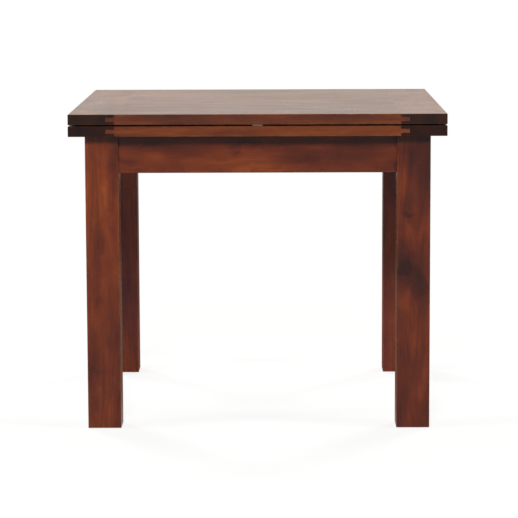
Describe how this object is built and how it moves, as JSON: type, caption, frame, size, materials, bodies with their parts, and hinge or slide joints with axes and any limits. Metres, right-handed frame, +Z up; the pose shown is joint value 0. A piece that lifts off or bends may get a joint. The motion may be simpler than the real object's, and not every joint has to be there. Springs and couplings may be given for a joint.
{
  "type": "butterfly extension table",
  "caption": "Square dining table whose double top slides sideways and unfolds like a book to twice its width.",
  "frame": {"origin": "on the floor below the middle of the closed table", "axes": "+X right along the slide, the top slides to -X and unfolds over the edge at +X; +Y back, the front faces -Y; +Z up"},
  "size_m": [0.9038, 0.9, 0.765],
  "materials": {
    "leg_wood": "satin",
    "apron_wood": "satin",
    "side_apron_wood": "satin",
    "board_wood": "satin",
    "cleat_wood": "satin",
    "slide_wood": "matte",
    "brace_wood": "matte",
    "screw_steel": "satin",
    "bolt_steel": "satin",
    "pin_steel": "satin",
    "hinge_brass": "satin",
    "screw_brass": "satin",
    "felt": "matte",
    "pad_felt": "matte",
    "buffer_rubber": "matte",
    "glide_plastic": "matte"
  },
  "bodies": {
    "base": {"leg_front_left": "leg_wood", "leg_front_right": "leg_wood", "leg_back_left": "leg_wood", "leg_back_right": "leg_wood", "apron_front": "apron_wood", "apron_back": "apron_wood", "apron_left": "side_apron_wood", "apron_right": "side_apron_wood", "guide_rail_front": "slide_wood", "guide_rail_back": "slide_wood", "corner_brace_front_left": "brace_wood", "corner_brace_front_right": "brace_wood", "corner_brace_back_left": "brace_wood", "corner_brace_back_right": "brace_wood", "brace_screws": "screw_steel", "hanger_bolts": "bolt_steel", "bolt_washers": "bolt_steel", "bolt_nuts": "bolt_steel", "felt_front": "felt", "felt_back": "felt", "felt_left": "felt", "felt_right": "felt", "stop_buffers": "buffer_rubber", "foot_glides": "glide_plastic"},
    "lower_leaf": {"lower_boards": "board_wood", "lower_cleat_left": "cleat_wood", "lower_cleat_right": "cleat_wood", "runner_front": "slide_wood", "runner_back": "slide_wood", "runner_screws": "screw_steel", "lower_hinge_plate_front": "hinge_brass", "lower_hinge_plate_middle": "hinge_brass", "lower_hinge_plate_back": "hinge_brass", "lower_hinge_screws": "screw_brass", "hinge_pins": "pin_steel", "leaf_pads": "pad_felt"},
    "upper_leaf": {"upper_boards": "board_wood", "upper_cleat_left": "cleat_wood", "upper_cleat_right": "cleat_wood", "upper_hinge_plate_front": "hinge_brass", "upper_hinge_plate_middle": "hinge_brass", "upper_hinge_plate_back": "hinge_brass", "upper_hinge_screws": "screw_brass"}
  },
  "joints": [
    {"name": "top_slide", "type": "slide", "parent": "base", "child": "lower_leaf", "axis": [-1, 0, 0], "range_m": [0, 0.45]},
    {"name": "leaf_fold", "type": "hinge", "parent": "lower_leaf", "child": "upper_leaf", "pos_m": [0.4503, 0, 0.7385], "axis": [0, 1, 0], "range_deg": [0, 180]}
  ]
}
